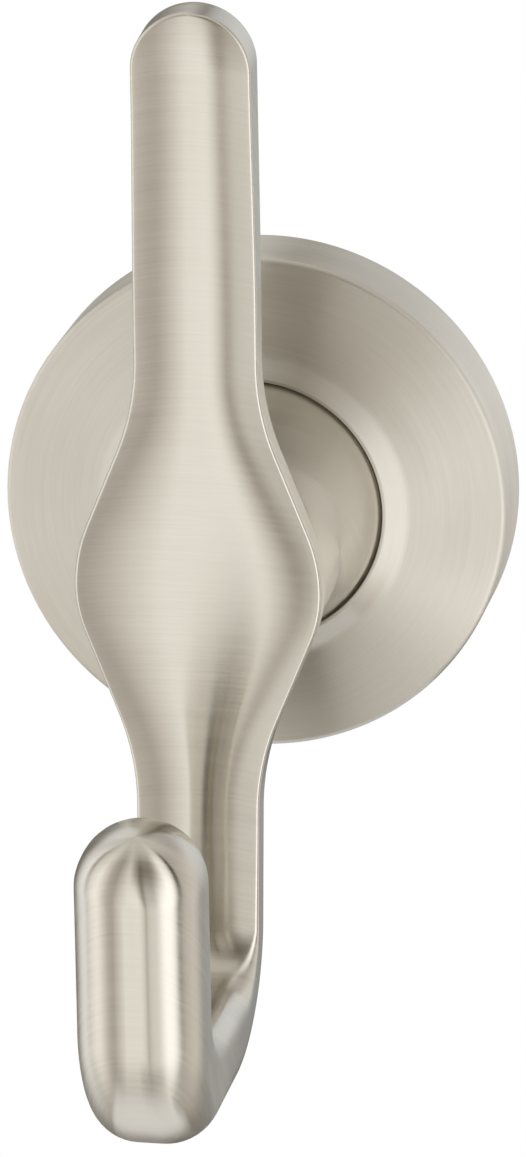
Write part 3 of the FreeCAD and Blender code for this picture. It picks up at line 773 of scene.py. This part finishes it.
def tent_material():
    """Lit tent cloth: a level that depends on the azimuth, times one that depends on the elevation.

    The second level differs left and right in front, at the sides, and left and right behind, and these
    parts fade into each other. A strip in front is darkened again, and overhead the level is even.
    """
    material = bpy.data.materials.new("tent_cloth")
    material.use_nodes = True
    tree = material.node_tree
    nodes, links = tree.nodes, tree.links
    nodes.clear()
    spot = nodes.new("ShaderNodeTexCoord")
    way = nodes.new("ShaderNodeVectorMath")
    way.operation = "NORMALIZE"
    links.new(spot.outputs["Object"], way.inputs[0])
    split = nodes.new("ShaderNodeSeparateXYZ")
    links.new(way.outputs[0], split.inputs[0])
    forward = worked_out(tree, "MULTIPLY", split.outputs["Y"], -1.0)
    azimuth = worked_out(tree, "ARCTAN2", split.outputs["X"], forward)
    elevation = worked_out(tree, "ARCSINE", split.outputs["Z"])
    rightward = worked_out(tree, "ARCSINE", split.outputs["X"])
    aside = worked_out(tree, "ABSOLUTE", azimuth)

    def level(angle, stops, span):
        share = nodes.new("ShaderNodeMapRange")
        share.inputs["From Min"].default_value = math.radians(-span / 2.0)
        share.inputs["From Max"].default_value = math.radians(span / 2.0)
        links.new(angle, share.inputs["Value"])
        stepped = ramp(nodes, stops, span)
        links.new(share.outputs["Result"], stepped.inputs["Fac"])
        return stepped.outputs["Color"]

    def rise(angle, fade):
        share = nodes.new("ShaderNodeMapRange")
        share.interpolation_type = "SMOOTHSTEP"
        share.inputs["From Min"].default_value = math.radians(fade[0])
        share.inputs["From Max"].default_value = math.radians(fade[1])
        links.new(angle, share.inputs["Value"])
        return share.outputs["Result"]

    def blend(kind, first, second, share=None):
        node = nodes.new("ShaderNodeMix")
        node.data_type = "RGBA"
        node.blend_type = kind
        node.inputs["Factor"].default_value = 1.0
        links.new(first, node.inputs["A"])
        if isinstance(second, tuple):
            node.inputs["B"].default_value = (*second, 1.0)
        else:
            links.new(second, node.inputs["B"])
        if share is not None:
            links.new(share, node.inputs["Factor"])
        return node.outputs["Result"]

    def both(left, right):
        left_level = level(elevation, left, HEIGHT_SPAN)
        right_level = level(elevation, right, HEIGHT_SPAN)
        return blend("MIX", left_level, right_level, rise(rightward, MIDDLE_FADE))

    high = both(TENT_FRONT_LEFT, TENT_FRONT_RIGHT)
    high = blend("MIX", high, level(elevation, TENT_SIDE, HEIGHT_SPAN), rise(aside, SIDE_FADE))
    high = blend("MIX", high, both(TENT_BACK_LEFT, TENT_BACK_RIGHT), rise(aside, BACK_FADE))
    glow = blend("MULTIPLY", level(azimuth, TENT_ROUND, ROUND_SPAN), high)
    glow = blend("MULTIPLY", glow, level(azimuth, TENT_STRIP, ROUND_SPAN), rise(elevation, STRIP_FADE))
    glow = blend("MIX", glow, TENT_CROWN, rise(elevation, CROWN_FADE))
    light = nodes.new("ShaderNodeEmission")
    light.inputs["Strength"].default_value = TENT_STRENGTH
    links.new(glow, light.inputs["Color"])
    out = nodes.new("ShaderNodeOutputMaterial")
    links.new(light.outputs[0], out.inputs["Surface"])
    # The tent is all round the object, so rays find it without being aimed at it
    material.cycles.emission_sampling = "NONE"
    return material


def light_tent():
    """A ball of lit cloth round the object, which the camera doesn't see and which casts no shadow."""
    elevation = np.linspace(-math.pi / 2.0, math.pi / 2.0, 49)[:, None]
    azimuth = np.linspace(0.0, 2.0 * math.pi, 97)[None, :-1]
    level = np.cos(elevation)
    ball = [level * np.sin(azimuth), -level * np.cos(azimuth), np.sin(elevation) + 0.0 * azimuth]
    mesh = mesh_from_grid("light_tent", TENT_RADIUS / MILLIMETRE * np.stack(ball, axis=-1))
    tent = bpy.data.objects.new("light_tent", mesh)
    bpy.context.scene.collection.objects.link(tent)
    mesh.materials.append(tent_material())
    tent.visible_camera = False
    tent.visible_shadow = False


def pale_floor():
    """A large pale floor far below the hook, plain white where it is seen."""
    side, level = FLOOR_HALF_SIDE, FLOOR_Z
    corners = [(-side, -side, level), (side, -side, level), (side, side, level), (-side, side, level)]
    mesh = bpy.data.meshes.new("floor")
    mesh.from_pydata(corners, [], [(0, 1, 2, 3)])
    floor = bpy.data.objects.new("floor", mesh)
    bpy.context.scene.collection.objects.link(floor)
    material = bpy.data.materials.new("pale_floor")
    material.use_nodes = True
    tree = material.node_tree
    surface = tree.nodes["Principled BSDF"]
    surface.inputs["Base Color"].default_value = (0.8, 0.8, 0.8, 1.0)
    surface.inputs["Roughness"].default_value = 0.7
    result = white_where_seen(tree, surface.outputs[0], "ShaderNodeEmission")
    tree.links.new(result, tree.nodes["Material Output"].inputs["Surface"])
    mesh.materials.append(material)


def studio_camera():
    """The camera, to the right of the hook and above it."""
    data = bpy.data.cameras.new("camera")
    data.sensor_width = 36.0
    data.lens = CAMERA_LENS
    data.clip_start, data.clip_end = 0.05, 20.0
    camera = bpy.data.objects.new("camera", data)
    bpy.context.scene.collection.objects.link(camera)
    azimuth, elevation = math.radians(CAMERA_AZIMUTH), math.radians(CAMERA_ELEVATION)
    level = math.cos(elevation)
    back = Vector((math.sin(azimuth) * level, -math.cos(azimuth) * level, math.sin(elevation)))
    camera.location = Vector(CAMERA_TARGET) + back * CAMERA_DISTANCE
    camera.rotation_mode = "QUATERNION"
    camera.rotation_quaternion = back.to_track_quat("Z", "Y")
    return camera


def main():
    """Make the materials, the pieces, the light, the floor and the camera."""
    groups = {"lines": brushed_lines_group(), "tone": satin_tone_group()}
    hook_nickel = satin_material("brushed_nickel_hook", groups, HOOK_NICKEL, round_lines=False)
    flange_nickel = satin_material("turned_nickel_flange", groups, FLANGE_NICKEL, round_lines=True)
    zinc = satin_material("dull_zinc_bracket", groups, ZINC, round_lines=False)
    steel = satin_material("plain_steel_screws", groups, STEEL, round_lines=True)
    add_piece("hook_bar", mesh_from_grid("hook_bar", hook_bar_grid()), hook_nickel, ["hook"])
    add_piece("hook_post", mesh_from_grid("hook_post", post_grid()), hook_nickel, ["hook"])
    cover = mesh_from_grid("flange_cover", turned_grid(flange_corners()))
    bore_reach = (FLANGE_RADIUS - FLANGE_WALL - BORE_OVERRUN, FLANGE_RADIUS + BORE_OVERRUN)
    cover = bored(cover, SET_SCREW_HOLE_RADIUS, SET_SCREW_DEPTH, bore_reach)
    add_piece("flange_cover", cover, flange_nickel, ["flange"])
    finishes = {"wall_bracket": zinc, "set_screw": steel, "post_screw": steel, "post_washer": steel}
    for node, material in finishes.items():
        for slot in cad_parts[node].material_slots:
            slot.material = material
    scene = bpy.context.scene
    scene.view_settings.view_transform = "Standard"
    scene.world = white_world()
    light_tent()
    pale_floor()
    scene.camera = studio_camera()


main()
